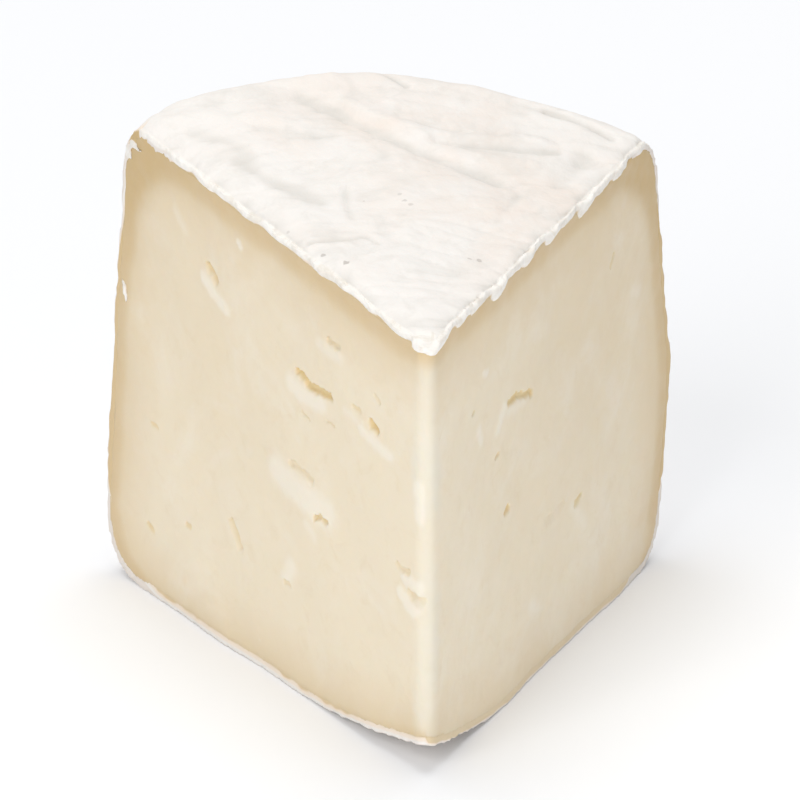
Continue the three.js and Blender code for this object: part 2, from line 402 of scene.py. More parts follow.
@dataclass(frozen=True)
class Clay:
    """Mesh steps that the rind and the paste share.

    Attributes:
        form: The form that the meshes follow.
        merged_share: The share of the faces that goes where a piece is hidden.
        floor_weight: What a millimetre above the ground counts for in the colour of the cuts.
    """

    form: WedgeForm = FORM
    merged_share: float = 0.93
    floor_weight: float = 1.35

    def wheel(self, inset: float) -> bmesh.types.BMesh:
        """The whole sagged cheese as a closed mesh.

        Args:
            inset: How far inside the rind's surface the mesh lies.

        Returns:
            The new mesh.
        """
        wheel = bmesh.new()
        verts = [wheel.verts.new(place) for place in self.form.outline(inset)]
        edges = [wheel.edges.new(pair) for pair in zip(verts, verts[1:])]
        bmesh.ops.spin(
            wheel,
            geom=verts + edges,
            cent=(0, 0, 0),
            axis=(0, 0, 1),
            angle=2 * math.pi,
            steps=self.form.columns,
            use_merge=True,
            use_duplicate=False,
        )
        bmesh.ops.remove_doubles(wheel, verts=wheel.verts[:], dist=1e-4)
        bmesh.ops.recalc_face_normals(wheel, faces=wheel.faces[:])
        settled = self.form.settled(np.array([v.co for v in wheel.verts]))
        for vert, place in zip(wheel.verts, settled):
            vert.co = place
        return wheel

    def cut(self, mesh: bmesh.types.BMesh) -> None:
        """Cuts a closed mesh down to the wedge and closes each cut.

        Args:
            mesh: The mesh.
        """
        for place, normal in self.form.cut_planes():
            cut = bmesh.ops.bisect_plane(
                mesh,
                geom=mesh.verts[:] + mesh.edges[:] + mesh.faces[:],
                dist=1e-5,
                plane_co=place,
                plane_no=normal,
                clear_outer=True,
            )
            rim = [part for part in cut["geom_cut"] if isinstance(part, bmesh.types.BMEdge)]
            bmesh.ops.edgeloop_fill(mesh, edges=rim)
        bmesh.ops.recalc_face_normals(mesh, faces=mesh.faces[:])

    @staticmethod
    def piece(mesh: bmesh.types.BMesh, name: str) -> bpy.types.Object:
        """A scene object from a mesh that is being modelled, which is freed.

        Args:
            mesh: The mesh.
            name: Its name.

        Returns:
            The object.
        """
        data = bpy.data.meshes.new(name)
        mesh.to_mesh(data)
        mesh.free()
        piece = bpy.data.objects.new(name, data)
        bpy.context.scene.collection.objects.link(piece)
        return piece

    @staticmethod
    def settle_modifiers(piece: bpy.types.Object) -> None:
        """Turns what a piece's modifiers show into its own mesh.

        Args:
            piece: The piece.
        """
        shown = piece.evaluated_get(bpy.context.evaluated_depsgraph_get())
        data = bpy.data.meshes.new_from_object(shown)
        piece.modifiers.clear()
        piece.data = data

    def even_mesh(self, piece: bpy.types.Object, voxel: float) -> None:
        """Rebuilds a closed piece from even square faces.

        Args:
            piece: The piece.
            voxel: The faces' side in millimetres.
        """
        remesh = piece.modifiers.new("even mesh", "REMESH")
        remesh.mode = "VOXEL"
        remesh.voxel_size = voxel
        self.settle_modifiers(piece)

    def thin_out(self, piece: bpy.types.Object, hidden: Array) -> None:
        """Merges most faces where a piece is hidden.

        Args:
            piece: The piece.
            hidden: Which of its vertices are hidden.
        """
        group = piece.vertex_groups.new(name="hidden")
        group.add(np.flatnonzero(hidden).tolist(), 1.0, "REPLACE")
        thin = piece.modifiers.new("thin out", "DECIMATE")
        thin.ratio = 1 - self.merged_share * hidden.mean()
        thin.vertex_group = group.name
        self.settle_modifiers(piece)
        piece.vertex_groups.clear()

    @staticmethod
    @contextmanager
    def opened(piece: bpy.types.Object) -> Iterator[bmesh.types.BMesh]:
        """Opens a piece's mesh for modelling, and puts it back afterwards.

        Args:
            piece: The piece.

        Yields:
            The mesh.
        """
        mesh = bmesh.new()
        mesh.from_mesh(piece.data)
        yield mesh
        mesh.to_mesh(piece.data)
        mesh.free()

    @staticmethod
    def smooth(
        mesh: bmesh.types.BMesh, verts: list[bmesh.types.BMVert], passes: int, upright: bool
    ) -> None:
        """Evens out the places of vertices.

        Args:
            mesh: Their mesh.
            verts: The vertices.
            passes: How often it is done.
            upright: Whether their heights change too.
        """
        for _ in range(passes):
            bmesh.ops.smooth_vert(
                mesh, verts=verts, factor=0.5, use_axis_x=True, use_axis_y=True, use_axis_z=upright
            )

    @staticmethod
    def split(mesh: bmesh.types.BMesh, chosen: Array, cuts: int) -> None:
        """Splits the edges between chosen vertices, with a number of cuts each."""
        edges = [e for e in mesh.edges if all(chosen[vert.index] for vert in e.verts)]
        bmesh.ops.subdivide_edges(mesh, edges=edges, cuts=cuts, use_grid_fill=True)

    @staticmethod
    def places(mesh: bpy.types.Mesh) -> Array:
        """The places of a mesh's vertices, one row each.

        Args:
            mesh: The mesh.

        Returns:
            The places.
        """
        flat = np.empty(len(mesh.vertices) * 3, dtype=np.float32)
        mesh.vertices.foreach_get("co", flat)
        return flat.reshape(-1, 3).astype(float)

    @staticmethod
    def normals(mesh: bpy.types.Mesh) -> Array:
        """The directions that a mesh's vertices face, one row each.

        Args:
            mesh: The mesh.

        Returns:
            The directions.
        """
        flat = np.empty(len(mesh.vertices) * 3, dtype=np.float32)
        mesh.vertex_normals.foreach_get("vector", flat)
        return flat.reshape(-1, 3).astype(float)

    @staticmethod
    def move(mesh: bpy.types.Mesh, places: Array) -> None:
        """Gives a mesh's vertices new places."""
        mesh.vertices.foreach_set("co", places.astype(np.float32).ravel())
        mesh.update()

    @staticmethod
    def note(mesh: bpy.types.Mesh, **notes: Array) -> None:
        """Keeps numbers for each vertex, by name, for the shaders to read.

        Args:
            mesh: The mesh.
            **notes: The numbers, by name.
        """
        for name, values in notes.items():
            kept = mesh.attributes.new(name, "FLOAT", "POINT")
            kept.data.foreach_set("value", values.astype(np.float32))

    def note_band(self, mesh: bpy.types.Mesh, places: Array) -> None:
        """Keeps how far places lie under the rind, for the colour of the cuts, and where painted shade
        darkens the paste high up and far from the point.

        Args:
            mesh: The mesh.
            places: The places, one row each.
        """
        left, up, radius = places[:, 0] < 0, places[:, 2], self.form.radius(places)
        foot = np.where(left, 1.4, 4.4) * smooth_step(9.0, 2.0, up)
        lower = np.where(left, 0.7, 0.0) * smooth_step(52.0, 34.0, up)
        # Painted shade: the paste darkens towards cream higher up and farther from the point, more on
        # the right cut.
        warm = np.where(left, 0.38, 0.62) * smooth_step(10.0, 45.0, up)
        self.note(
            mesh,
            band_depth=self.form.depth(places, self.floor_weight) + foot + lower,
            corner=smooth_step(44.0, 66.0, radius) * smooth_step(40.0, 58.0, up),
            warm=warm * smooth_step(5.0, 55.0, radius),
        )

    def finish(self, piece: bpy.types.Object, material: bpy.types.Material) -> None:
        """Smooths a piece's shading, dresses it and moves its mesh into the frame, in metres.

        Args:
            piece: The piece.
            material: Its finish.
        """
        shift = Matrix.Translation((0, -self.form.origin_from_point, 0))
        piece.data.transform(Matrix.Scale(MM, 4) @ shift)
        piece.data.polygons.foreach_set("use_smooth", [True] * len(piece.data.polygons))
        piece.data.materials.clear()
        piece.data.materials.append(material)
        piece.data.update()
        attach(piece, BODY)
        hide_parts(NODE)
        log.info("%s: %d faces", piece.name, len(piece.data.polygons))


CLAY = Clay()


@dataclass(frozen=True)
class Eye:
    """A slit, hole or torn pit in a cut.

    Attributes:
        cut: The cut that it is in.
        route: The line along its middle, as distances from the point and heights.
        width: Its greatest width.
        depth: How far it goes in.
        glow: How golden its inside is, from 0 to 1.
    """

    cut: Cut
    route: Route
    width: float
    depth: float
    glow: float


@dataclass(frozen=True)
class Smear:
    """A pale patch of paste that the knife pushed up.

    Attributes:
        cut: The cut that it is on.
        route: The line along its middle, as distances from the point and heights.
        width: Its greatest width.
        height: How far it stands out.
        pallor: How pale it is, from 0 to 1.
    """

    cut: Cut
    route: Route
    width: float
    height: float
    pallor: float


EYES = (
    Eye(Cut.LEFT, ((29.6, 44.9), (28.2, 44.7), (27.2, 44), (25.2, 44.1), (22, 44.4)), 1.2, 0.6, 0.9),
    Eye(Cut.LEFT, ((22.4, 52.1), (21.1, 52), (19.7, 51.9)), 0.8, 0.35, 0.25),
    Eye(Cut.LEFT, ((12.9, 44.3), (11.7, 43.7)), 1.3, 0.7, 1),
    Eye(Cut.LEFT, ((16.6, 45.1), (15.4, 45)), 0.8, 0.2, 0.35),
    Eye(Cut.LEFT, ((28.6, 39.8), (26.8, 39.2)), 0.5, 0.2, 0.25),
    Eye(Cut.LEFT, ((22.9, 40.8), (21.3, 40.5)), 0.5, 0.2, 0.25),
    Eye(Cut.LEFT, ((30.8, 31.9), (28.5, 31.6), (26.3, 31.2)), 1.2, 0.35, 0.2),
    Eye(Cut.LEFT, ((25.6, 26.3), (24.2, 26.9), (23, 26.6)), 0.9, 0.5, 0.5),
    Eye(Cut.LEFT, ((12, 48.4), (10.8, 47.9)), 0.6, 0.2, 0.25),
    Eye(Cut.LEFT, ((50.1, 51.9), (48.9, 51.2), (48.4, 50.5)), 1.4, 0.5, 0.5),
    Eye(Cut.LEFT, ((63.6, 24.9), (62.4, 24.7)), 0.8, 0.15, 0.4),
    Eye(Cut.LEFT, ((64.9, 9.9), (64.2, 9.7)), 1.3, 0.15, 0.5),
    Eye(Cut.LEFT, ((55.4, 13.6), (54.8, 13.6)), 1.1, 0.15, 0.45),
    Eye(Cut.LEFT, ((45, 18), (43.2, 15.3)), 1.4, 0.4, 0.35),
    Eye(Cut.LEFT, ((6.9, 27.2), (5.5, 26.8), (4.3, 27.1)), 1.0, 0.3, 0.3),
    Eye(Cut.LEFT, ((4.3, 24.4), (2.4, 24), (0.8, 23.7)), 1.1, 0.35, 0.25),
    Eye(Cut.LEFT, ((32.6, 14.4), (31.7, 14.6)), 0.8, 0.25, 0.25),
    Eye(Cut.RIGHT, ((24.4, 41.9), (26.5, 41.9), (28.7, 41.2), (31.2, 40.4)), 1.1, 0.36, 0.75),
    Eye(Cut.RIGHT, ((24.6, 27.2), (23.8, 27)), 1.3, 0.4, 0.9),
    Eye(Cut.RIGHT, ((46.8, 19.4), (45.2, 19)), 1.2, 0.3, 0.5),
    Eye(Cut.RIGHT, ((36, 20.6), (38.8, 20.3), (41.1, 20.5)), 1.5, 0.2, 0.1),
    Eye(Cut.RIGHT, ((13.9, 44.9), (13.5, 44.7)), 0.6, 0.25, 0.4),
    Eye(Cut.RIGHT, ((21.4, 36.1), (20.6, 35.7)), 0.6, 0.25, 0.4),
    Eye(Cut.RIGHT, ((56.4, 49.4), (55.6, 48)), 0.7, 0.2, 0.3),
)

SMEARS = (
    Smear(Cut.LEFT, ((31, 42.9), (28.9, 42.3), (26.6, 42.3), (24, 42.6)), 2.4, 0.22, 0.8),
    Smear(Cut.LEFT, ((24.2, 50.9), (22, 50.6), (19.5, 50.8)), 1.9, 0.22, 0.55),
    Smear(Cut.LEFT, ((14.8, 42.6), (11.8, 41.9), (8.5, 41.3)), 1.7, 0.28, 0.8),
    Smear(Cut.LEFT, ((18.3, 43.9), (15, 43.4)), 1.6, 0.12, 0.45),
    Smear(Cut.LEFT, ((33.9, 29.6), (31.4, 29), (29, 28.6), (25.6, 28.1), (23.2, 27.9)), 4.2, 0.35, 0.9),
    Smear(Cut.LEFT, ((27.2, 24.9), (25.6, 23.8)), 1.8, 0.15, 0.5),
    Smear(Cut.LEFT, ((50.9, 50), (49.2, 48.9), (47.4, 48.1), (45.8, 47.4)), 1.7, 0.3, 0.9),
    Smear(Cut.LEFT, ((31, 17.4), (32.4, 15.2)), 2.3, 0.35, 0.75),
    Smear(Cut.LEFT, ((5.2, 26.1), (3, 25.8), (1.2, 25.6)), 1.7, 0.35, 1),
    Smear(Cut.LEFT, ((6, 23.7), (4.7, 22.7), (3, 22.2)), 1.6, 0.25, 1),
    Smear(Cut.LEFT, ((1.9, 39), (0.6, 37), (1.6, 35.8)), 2.6, 0.2, 1),
    Smear(Cut.LEFT, ((42.7, 57.9), (42.4, 57.4)), 0.9, 0.15, 0.9),
    Smear(Cut.LEFT, ((57.6, 56.8), (55.4, 54.8)), 1.6, 0.12, 0.4),
    Smear(Cut.RIGHT, ((23.4, 41.1), (26.2, 40.4), (28.6, 40.3)), 1.8, 0.1, 0.45),
    Smear(Cut.RIGHT, ((20.8, 39.3), (21.8, 40.8), (22.6, 42)), 1.5, 0.28, 0.7),
    Smear(Cut.RIGHT, ((16.6, 49.2), (17.4, 48.8)), 1.0, 0.15, 0.8),
    Smear(Cut.RIGHT, ((15.2, 41.8), (15.6, 41.2), (15.9, 40)), 1.5, 0.2, 0.65),
    Smear(Cut.RIGHT, ((44.2, 18.9), (47.8, 15.4)), 2.2, 0.15, 0.4),
    Smear(Cut.RIGHT, ((62.6, 41.6), (64, 41.1)), 2.2, 0.15, 0.5),
    Smear(Cut.RIGHT, ((31.4, 10.6), (33.6, 9.2)), 2.4, 0.15, 0.5),
)


@dataclass(frozen=True)
class Paste:
    """The pale inside of the cheese, with its two cut faces.

    Attributes:
        form: The wedge's form.
        clay: The shared mesh steps.
        under_rind: How thick the rind over it is.
        voxel: Side of its faces.
        eyes: The holes and pits in its cuts.
        smears: The pale patches on its cuts.
        streak_fall: How steeply the knife marks run down towards the point, in radians.
        streak_length: Length of a knife mark.
        streak_width: Width of a knife mark.
        streaks: The relief of the knife marks, on a scale of their own length and width.
        crumb: The relief of the fine crumb.
        frays: How eyes and smears fray, along the cut and up.
        front_reach: How far from the point the front edge is softened.
        front_span: The heights between which it is softened.
    """

    form: WedgeForm = FORM
    clay: Clay = CLAY
    under_rind: float = 1.0
    voxel: float = 0.42
    eyes: tuple[Eye, ...] = EYES
    smears: tuple[Smear, ...] = SMEARS
    streak_fall: float = math.radians(40)
    streak_length: float = 7.0
    streak_width: float = 1.6
    streaks: Ripple = Ripple(0.07, 1.0, 1)
    crumb: Ripple = Ripple(0.03, 1.1, 2)
    frays: tuple[Ripple, Ripple] = (Ripple(0.28, 0.9, 4), Ripple(0.28, 0.8, 5))
    front_reach: float = 5.5
    front_span: tuple[float, float] = (1.5, 57.0)

    def build(self, material: bpy.types.Material) -> bpy.types.Object:
        """Models the paste and gives it its finish.

        Args:
            material: Its finish.

        Returns:
            The result, finished.
        """
        mesh = self.clay.wheel(self.under_rind)
        self.clay.cut(mesh)
        piece = self.clay.piece(mesh, "paste")
        self.clay.even_mesh(piece, self.voxel)
        self._thin_hidden(piece)
        self._refine_eyes(piece)
        self._soften_point(piece)
        self._carve(piece)
        self.clay.finish(piece, material)
        return piece

    def _thin_hidden(self, piece: bpy.types.Object) -> None:
        """Merges the small faces that the rind covers.

        Args:
            piece: The piece.
        """
        places = self.clay.places(piece.data)
        near = np.min([np.abs(self.form.facing(places, cut)) for cut in Cut], axis=0)
        self.clay.thin_out(piece, (near > 1.5) & (self.form.radius(places) > 5))

    def _refine_eyes(self, piece: bpy.types.Object) -> None:
        """Splits the faces round the eyes, so that their torn edges are crisp.

        Args:
            piece: The piece.
        """
        with self.clay.opened(piece) as mesh:
            places = np.array([v.co for v in mesh.verts])
            chosen = np.zeros(len(places), dtype=bool)
            for eye in self.eyes:
                near_cut = np.abs(self.form.facing(places, eye.cut)) < 0.8
                away = distance_to_route(self.form.run(places, eye.cut), places[:, 2], eye.route)
                chosen |= near_cut & (away < eye.width * 0.5 + 0.9)
            self.clay.split(mesh, chosen, cuts=2)

    def _soften_point(self, piece: bpy.types.Object) -> None:
        """Rounds the front edge softly into both cuts.

        Args:
            piece: The piece.
        """
        with self.clay.opened(piece) as mesh:
            near = [v for v in mesh.verts if v.co.xy.length < self.front_reach]
            low, high = self.front_span
            front = [v for v in near if low < v.co.z < high]
            self.clay.smooth(mesh, front, passes=8, upright=False)

    def _carve(self, piece: bpy.types.Object) -> None:
        """Gives the cuts their waves, knife marks, crumb and eyes, and notes what shaders need.

        Args:
            piece: The piece.
        """
        places = self.clay.places(piece.data)
        moved = places.copy()
        pit = np.zeros(len(places))
        pale = np.zeros(len(places))
        for cut in Cut:
            on_cut = smooth_step(0.9, 0.3, np.abs(self.form.facing(places, cut)))
            along = self.form.run(places, cut)
            up = places[:, 2]
            height = self._relief(along, up, cut)
            for smear in (smear for smear in self.smears if smear.cut is cut):
                rise = self._smear_share(along, up, smear)
                height = height + 0.45 * smear.height * rise
                pale = np.maximum(pale, rise * on_cut * smear.pallor)
            for eye in (eye for eye in self.eyes if eye.cut is cut):
                inside = self._eye_share(along, up, eye)
                height = height - eye.depth * inside
                pit = np.maximum(pit, inside * on_cut * eye.glow)
                pale = pale * (1 - inside * on_cut)
            moved += np.outer(height * on_cut, np.array(self.form.outward(cut)))
        moved[:, 2] = np.maximum(moved[:, 2], 0.0)
        self.clay.move(piece.data, moved)
        self.clay.note_band(piece.data, places)
        self.clay.note(piece.data, eye_pit=pit, pale=pale, from_point=self.form.radius(places))

    def _relief(self, along: Array, up: Array, cut: Cut) -> Array:
        """Height of the waves, the knife marks and the crumb on a cut.

        Args:
            along: Distances from the point.
            up: Heights above the ground.
            cut: The cut.

        Returns:
            The heights, outwards.
        """
        cos, sin = math.cos(self.streak_fall), math.sin(self.streak_fall)
        run = along * cos + up * sin
        across = -along * sin + up * cos
        shift = self.form.cut_shift * cut.value
        streaks = self.streaks.over(run / self.streak_length, across / self.streak_width, shift)
        return self.form.cut_wave(along, up, cut) + streaks + self.crumb.over(along, up, shift)

    def _frayed(
        self, along: Array, up: Array, mark: Eye | Smear
    ) -> tuple[Array, Array]:
        """Distances to the line of an eye or a smear, uneven, at the places near it.

        Args:
            along: Distances from the point.
            up: Heights above the ground.
            mark: The eye or the smear.

        Returns:
            Which places lie near, and their distances as shares of the mark's half width.
        """
        near = distance_to_route(along, up, mark.route) < mark.width + 1.5
        along, up = along[near], up[near]
        x, y = along + self.frays[0].over(along, up), up + self.frays[1].over(along, up)
        return near, distance_to_route(x, y, mark.route) / (mark.width / 2)

    def _eye_share(self, along: Array, up: Array, eye: Eye) -> Array:
        """How hollow an eye is at each place, from 0 to 1, with a steeper upper wall.

        Args:
            along: Distances from the point.
            up: Heights above the ground.
            eye: The eye.

        Returns:
            The shares.
        """
        share = np.zeros(len(along))
        near, far = self._frayed(along, up, eye)
        middle = np.interp(along[near], *np.array(sorted(eye.route)).T)
        above = smooth_step(-0.2, 0.3, up[near] - middle)
        steep = smooth_step(1.05, 0.7, far)
        gentle = smooth_step(1.5, 0.0, far)
        share[near] = above * steep + (1 - above) * gentle
        return share

    def _smear_share(self, along: Array, up: Array, smear: Smear) -> Array:
        """How far a smear stands out at each place, from 0 to 1.

        Args:
            along: Distances from the point.
            up: Heights above the ground.
            smear: The smear.

        Returns:
            The shares.
        """
        share = np.zeros(len(along))
        near, far = self._frayed(along, up, smear)
        share[near] = smooth_step(1.9, 0.0, far)
        return share


@dataclass(frozen=True)
class TuftRow:
    """A row of rind tufts that the knife dragged over one upper cut edge.

    Attributes:
        cut: The cut that they hang over.
        alongs: Distances from the point to the tufts.
        length: Length of a tuft.
        width: Its width.
        stand: How far it stands out from the cut.
        sink: How far its middle lies below the top.
        turn: Degrees from level to its long axis, rising away from the point.
        roll: How much lower the rounded edge behind the tufts is than a sharp one.
        roll_width: How far in the rounding reaches.
    """

    cut: Cut
    alongs: tuple[float, ...]
    length: float
    width: float
    stand: float
    sink: float
    turn: float
    roll: float
    roll_width: float


@dataclass(frozen=True)
class Flake:
    """A single flake of rind on a cut.

    Attributes:
        cut: The cut that it is on.
        along: Distance from the point.
        up: Height above the ground.
        length: Its length.
        width: Its width.
        stand: How far it stands out.
        turn: Degrees from level to its long axis, rising away from the point.
    """

    cut: Cut
    along: float
    up: float
    length: float
    width: float
    stand: float
    turn: float


@dataclass(frozen=True)
class Fold:
    """A groove in the top rind, or a ridge where its depth is less than nothing.

    Attributes:
        route: The places that it runs through.
        depth: Its depth.
        width: Its half width.
    """

    route: Route
    depth: float
    width: float


TUFT_ROWS = (
    TuftRow(
        Cut.LEFT,
        (2.2, 6.4, 12.9, 19.2, 23.6, 30.1, 34.2, 41, 46.6, 50.4, 56.3),
        4.2, 1.2, 0.55, 0.55, 7, 0.3, 2.6,
    ),
    TuftRow(
        Cut.RIGHT,
        (3.9, 10.3, 14.1, 20.9, 26.8, 30.2, 37.4, 41.6, 47.9, 51.9, 57.6),
        4.8, 2.0, 0.55, 0.95, 22, 0.4, 2.6,
    ),
)

FLAKES = (
    Flake(Cut.LEFT, 1.8, 58.9, 3.4, 1.8, 0.9, -15),
    Flake(Cut.RIGHT, 1.6, 58.7, 2.8, 1.8, 0.8, 40),
    Flake(Cut.LEFT, 69.8, 41, 3.4, 1.1, 0.4, 75),
    Flake(Cut.LEFT, 67.0, 62.3, 3.4, 1.5, 0.4, 8),
    Flake(Cut.LEFT, 68.7, 60.9, 2.6, 1.8, 0.35, 70),
    Flake(Cut.RIGHT, 64.6, 60.6, 3.4, 1.1, 0.4, -14),
)

FOLDS = (
    Fold(((-11.6, 60.9), (-7.6, 58), (-3.8, 54.4), (-0.2, 50.5), (3.4, 48.2), (12.3, 43)), 0.42, 1.15),
    Fold(((-5.9, 59.7), (-2.7, 56.6), (0.7, 53.8), (3.7, 52)), -0.4, 1.2),
    Fold(((5, 50.9), (8.6, 50.7), (12.1, 50.9), (16, 51), (20.6, 51.6)), 0.4, 0.7),
    Fold(((5.7, 52.5), (10.8, 52.8), (18.5, 53.4)), -0.35, 1.0),
    Fold(((3.1, 55.1), (5.8, 54), (9.1, 54.1)), 0.3, 0.6),
    Fold(((-16.9, 53.1), (-12.2, 52.4), (-8.4, 51.3)), 0.25, 1.4),
    Fold(((-17.7, 54.9), (-12.1, 53.4)), -0.2, 1.0),
    Fold(((-20.5, 46), (-17, 41.2), (-13.3, 37.5), (-10.6, 35)), 0.4, 1.2),
    Fold(((-7.3, 38.7), (-7.5, 34.5), (-7, 31.1)), 0.25, 0.6),
    Fold(((-12.9, 25.7), (-10.9, 25.7), (-8.1, 25.7), (-5.9, 26.7), (-4.3, 24.7)), 0.35, 0.4),
    Fold(((-12.9, 24.7), (-10.9, 24.6), (-8.1, 24.6)), -0.25, 0.7),
    Fold(((-29.9, 56.9), (-24.6, 56.9), (-20.9, 54.9), (-16.7, 57.4)), -0.35, 1.3),
    Fold(((-25.5, 53.2), (-21.2, 49.8), (-18.9, 47.1)), 0.3, 1.2),
    Fold(((20.2, 61.3), (25.4, 58.8), (28, 56.9)), 0.45, 0.7),
    Fold(((16.1, 62.9), (21.7, 60.3)), 0.25, 0.8),
    Fold(((-0.3, 66.6), (2.3, 64.1)), 0.5, 0.6),
    Fold(((14.8, 40.1), (12.9, 36), (11.4, 33)), 0.2, 0.7),
    Fold(((24.1, 52.1), (22.5, 48), (20.2, 43.8)), 0.3, 1.4),
    Fold(((-11.3, 64.3), (-7.4, 65.3)), -0.3, 1.2),
)


@dataclass(frozen=True)
class Rind:
    """The white bloomy skin round the outside, with its torn edge along the cuts.

    Attributes:
        form: The wedge's form.
        clay: The shared mesh steps.
        thickness: How thick it is.
        voxel: Side of its faces.
        tuft_rows: The tufts along the upper cut edges.
        flakes: Single flakes on the cuts.
        folds: Grooves and ridges in its top.
        bloom: The uneven relief of its surface.
        wrinkle: The ripple whose crossings of zero are wrinkles.
        wrinkle_depth: How deep the wrinkles go.
        lobe: The relief of its edge along the cuts.
        border: How ragged the lower border of the torn edge is.
        scrape: How ragged the scraped corner is.
        skin_waves: How uneven the pale skin on the cuts is.
        fibre: The relief of the torn fibres, on a scale of their own length and width.
        fibre_length: Length of a torn fibre.
        fibre_width: Width of a torn fibre.
        fibre_fall: How steeply the torn fibres run down towards the point, in radians.
        pinkish_middle: The middle of the pinkish part of its top.
    """

    form: WedgeForm = FORM
    clay: Clay = CLAY
    thickness: float = 1.8
    voxel: float = 0.4
    tuft_rows: tuple[TuftRow, ...] = TUFT_ROWS
    flakes: tuple[Flake, ...] = FLAKES
    folds: tuple[Fold, ...] = FOLDS
    bloom: tuple[Ripple, ...] = (Ripple(0.16, 7.0, 6), Ripple(0.09, 2.6, 7), Ripple(0.05, 1.2, 8))
    wrinkle: Ripple = Ripple(1.0, 3.6, 9)
    wrinkle_depth: float = 0.18
    lobe: Ripple = Ripple(0.3, 3.4, 12)
    border: Ripple = Ripple(0.5, 3.2, 16)
    scrape: Ripple = Ripple(0.7, 2.2, 17)
    skin_waves: tuple[Ripple, ...] = (Ripple(1.0, 4.2, 14), Ripple(0.4, 1.7, 15))
    fibre: Ripple = Ripple(0.09, 1.0, 10)
    fibre_length: float = 2.6
    fibre_width: float = 0.55
    fibre_fall: float = math.radians(32)
    pinkish_middle: tuple[float, float] = (7.0, 43.0)

    def build(self, material: bpy.types.Material) -> bpy.types.Object:
        """Models the rind and gives it its finish.

        Args:
            material: Its finish.

        Returns:
            The result, finished.
        """
        piece = self._shell()
        self._add_tufts(piece)
        self.clay.even_mesh(piece, self.voxel)
        self._thin_hidden(piece)
        self._refine_edges(piece)
        self._ruffle(piece)
        self.clay.finish(piece, material)
        return piece

    def _shell(self) -> bpy.types.Object:
        """The plain skin: the outer wedge without the round inside of the cheese.

        Returns:
            The piece.
        """
        outer = self.clay.wheel(0.0)
        self.clay.cut(outer)
        shell = self.clay.piece(outer, "rind")
        inside = self.clay.piece(self.clay.wheel(self.thickness), "inside")
        hollow = shell.modifiers.new("hollow", "BOOLEAN")
        hollow.operation = "DIFFERENCE"
        hollow.solver = "EXACT"
        hollow.object = inside
        self.clay.settle_modifiers(shell)
        bpy.data.objects.remove(inside)
        return shell

    def _add_tufts(self, piece: bpy.types.Object) -> None:
        """Adds the dragged tufts along the upper cut edges and the single flakes.

        Args:
            piece: The piece.
        """
        with self.clay.opened(piece) as mesh:
            for row in self.tuft_rows:
                for i, along in enumerate(row.alongs):
                    uneven = math.sin(i * 2.4 + row.cut.value)
                    self._add_tuft(mesh, row, along, 0.95 + 0.25 * uneven)
                    self._add_tuft(mesh, row, along + row.length * (0.46 + 0.08 * uneven), 0.6)
                    self._add_tuft(mesh, row, along - row.length * 0.3, 0.5 - 0.1 * uneven)
            for flake in self.flakes:
                self._add_lump(mesh, flake)

    def _add_tuft(
        self, mesh: bmesh.types.BMesh, row: TuftRow, along: float, share: float
    ) -> None:
        """Adds one tuft.

        Args:
            mesh: The mesh that it joins.
            row: The row that it belongs to.
            along: Its distance from the point.
            share: Its size beside the row's full size.
        """
        along = max(along, 1.2)
        foot = self.form.on_cut(row.cut, along, 0)
        up = float(self.form.top(foot.x, foot.y)) - row.sink * share
        lump = Flake(
            row.cut,
            along,
            up,
            row.length * share,
            row.width * (0.35 + 0.65 * share),
            row.stand * share,
            row.turn * (1.3 - 0.3 * share),
        )
        self._add_lump(mesh, lump)

    def _add_lump(self, mesh: bmesh.types.BMesh, lump: Flake) -> None:
        """Adds one long round lump to a mesh, half sunk in its cut.

        Args:
            mesh: The mesh.
            lump: The lump.
        """
        out = self.form.along(lump.cut)
        rise = Vector((0, 0, 1))
        basis = Matrix((out, rise, out.cross(rise))).transposed().to_4x4()
        size = Matrix.Diagonal((lump.length / 2, lump.width / 2, lump.stand, 1))
        turn = Matrix.Rotation(math.radians(lump.turn), 4, "Z")
        place = Matrix.Translation(self.form.on_cut(lump.cut, lump.along, lump.up))
        bmesh.ops.create_icosphere(
            mesh, subdivisions=3, radius=1, matrix=place @ basis @ turn @ size
        )

    def _thin_hidden(self, piece: bpy.types.Object) -> None:
        """Merges the small faces of the inner wall, which the paste covers.

        Args:
            piece: The piece.
        """
        places = self.clay.places(piece.data)
        deep = self.form.depth(places) > self.thickness * 0.6
        self.clay.thin_out(piece, deep & (self.form.inward(places) > 1.2))

    def _refine_edges(self, piece: bpy.types.Object) -> None:
        """Splits the faces along the upper cut edges and softens where the tufts join.

        Args:
            piece: The piece.
        """
        with self.clay.opened(piece) as mesh:
            places = np.array([v.co for v in mesh.verts])
            inward, below = self.form.inward(places), self.form.below_top(places)
            everywhere = np.ones(len(places), dtype=bool)
            edge = (inward < 1.3) & (below < 2.4) & (below > -1.6)
            join = (inward > -0.5) & (inward < 2.4) & (below < 0.9) & (below > -1.6)
            for region, passes in ((everywhere, 1), (edge, 2), (join, 7)):
                verts = [v for v in mesh.verts if region[v.index]]
                self.clay.smooth(mesh, verts, passes, upright=True)
            self.clay.split(mesh, edge, cuts=1)

